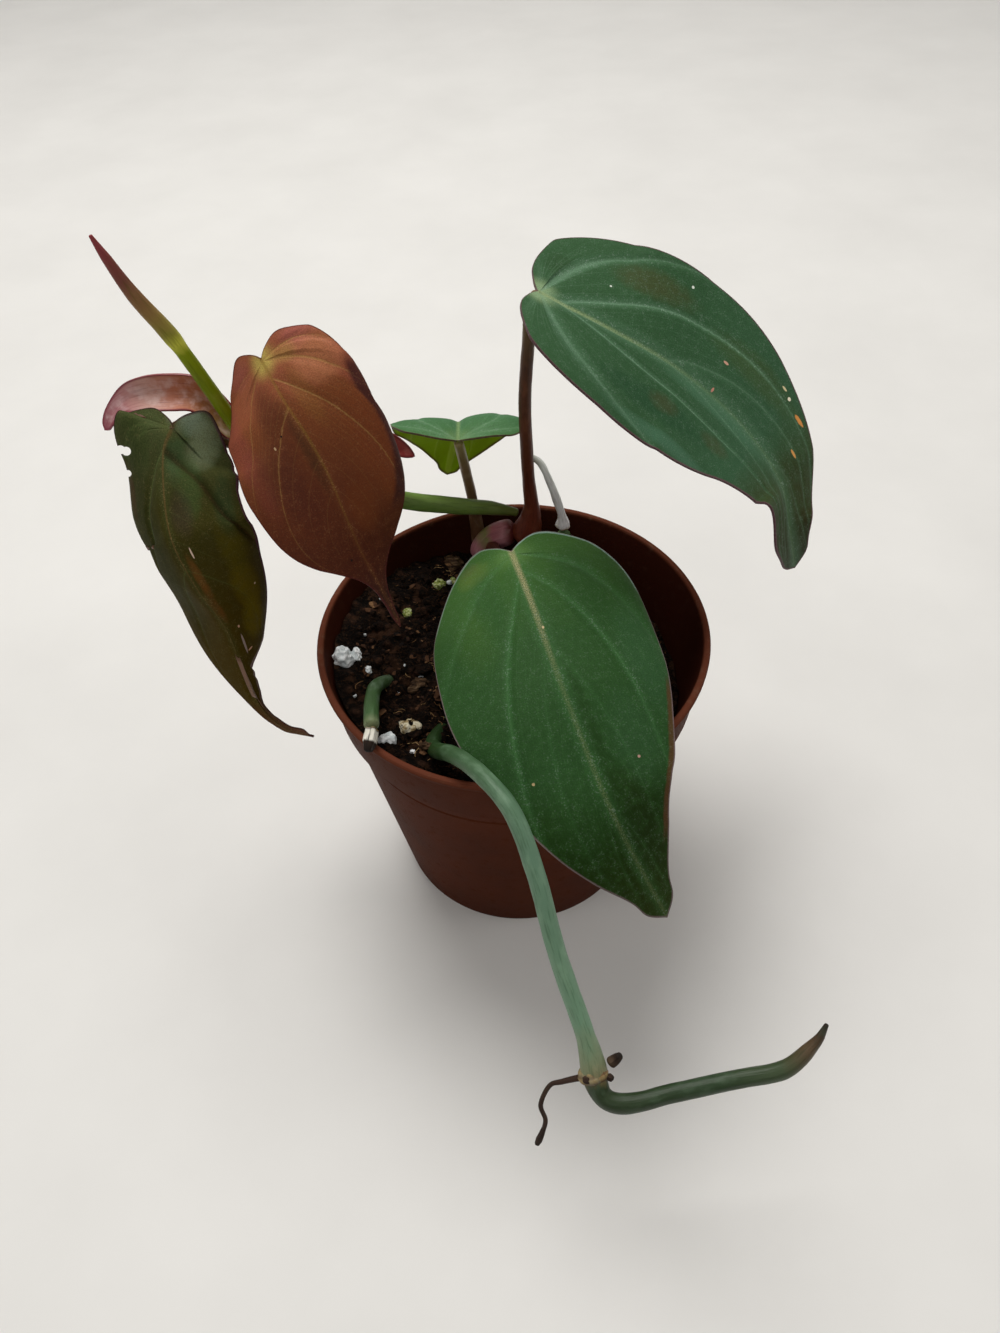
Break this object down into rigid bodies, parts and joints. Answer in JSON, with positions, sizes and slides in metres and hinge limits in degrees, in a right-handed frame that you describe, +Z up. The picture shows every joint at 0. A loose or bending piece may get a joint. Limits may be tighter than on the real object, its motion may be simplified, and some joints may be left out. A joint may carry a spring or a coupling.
{
  "type": "potted velvet leaf philodendron",
  "caption": "Young trailing aroid with velvety heart-shaped leaves and drip tips, in a small round tapered nursery pot of soil.",
  "frame": {"origin": "centre of the pot's underside, on the surface that it stands on", "axes": "+Z up; +X to the right of the plant; -Y is the front, where the largest green leaf hangs over the rim"},
  "size_m": [0.1189, 0.1189, 0.1296],
  "materials": {
    "pot_plastic": "matte moulded plastic, lip slightly worn",
    "peat": "dark crumbly peat with brown fibres",
    "perlite": "white porous mineral",
    "crumb": "cream porous crumb",
    "bark": "rough bark",
    "green_stem": "smooth living stem",
    "brown_petiole": "satin living stalk",
    "grey_petiole": "satin living stalk",
    "pink_sheath": "satin thin sheath",
    "green_leaf": "velvety leaf",
    "blue_green_leaf": "velvety leaf with a teal sheen",
    "copper_leaf": "velvety young leaf, copper",
    "bronze_leaf": "velvety leaf, dark bronze green",
    "small_leaf": "velvety small leaf",
    "rolled_leaf": "satin rolled leaf",
    "dried_stem": "dry fibrous",
    "root": "rough dry root"
  },
  "bodies": {
    "root": {"pot": "pot_plastic", "soil": "peat", "perlite_large": "perlite", "perlite_beside": "perlite", "perlite_front": "perlite", "cream_crumb": "crumb", "bark": "bark", "crown": "pink_sheath", "back_stem": "green_stem", "right_petiole": "brown_petiole", "front_petiole": "brown_petiole", "copper_petiole": "brown_petiole", "bronze_petiole": "brown_petiole", "small_petiole": "grey_petiole", "green_stub": "green_stem", "dried_stalk": "dried_stem", "cut_stub": "green_stem", "cut_end": "dried_stem", "front_vine": "green_stem", "vine_shoot": "green_stem", "aerial_root": "root", "node_stump": "root", "new_leaf": "rolled_leaf", "bud_sheath": "pink_sheath", "red_sheath": "pink_sheath", "right_blade": "blue_green_leaf", "front_blade": "green_leaf", "copper_blade": "copper_leaf", "bronze_blade": "bronze_leaf", "small_blade": "small_leaf"}
  },
  "joints": []
}
